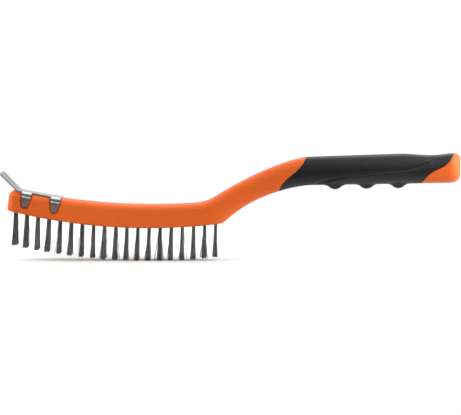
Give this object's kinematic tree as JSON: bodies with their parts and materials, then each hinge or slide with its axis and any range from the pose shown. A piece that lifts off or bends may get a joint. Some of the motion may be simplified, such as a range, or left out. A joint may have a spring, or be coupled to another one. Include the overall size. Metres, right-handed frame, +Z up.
{
  "type": "wire brush",
  "caption": "Long curved-handle hand wire brush with folded steel wire tufts, soft grip sleeve and a clip-on steel scraper at the toe.",
  "frame": {"origin": "bottom centre of the brush's bounding box, level with the lowest bristle tips", "axes": "+X along the brush from the scraper to the end of the handle, +Y across it, +Z up, bristles pointing down"},
  "size_m": [0.355, 0.033, 0.0828],
  "materials": {
    "orange_plastic": "satin injection moulded polypropylene",
    "black_grip": "fine matt texture, overmoulded thermoplastic rubber",
    "scraper_steel": "cold rolled steel sheet, zinc plated",
    "anchor_steel": "flat steel strip",
    "bristle_wire": "drawn tempered steel wire"
  },
  "bodies": {
    "root": {"handle_body": "orange_plastic", "grip_sleeve": "black_grip", "scraper": "scraper_steel", "tuft_anchors": "anchor_steel", "tuft_row_01": "bristle_wire", "tuft_row_02": "bristle_wire", "tuft_row_03": "bristle_wire", "tuft_row_04": "bristle_wire", "tuft_row_05": "bristle_wire", "tuft_row_06": "bristle_wire", "tuft_row_07": "bristle_wire", "tuft_row_08": "bristle_wire", "tuft_row_09": "bristle_wire", "tuft_row_10": "bristle_wire", "tuft_row_11": "bristle_wire", "tuft_row_12": "bristle_wire", "tuft_row_13": "bristle_wire", "tuft_row_14": "bristle_wire", "tuft_row_15": "bristle_wire", "tuft_row_16": "bristle_wire", "tuft_row_17": "bristle_wire", "tuft_row_18": "bristle_wire", "tuft_row_19": "bristle_wire"}
  },
  "joints": []
}
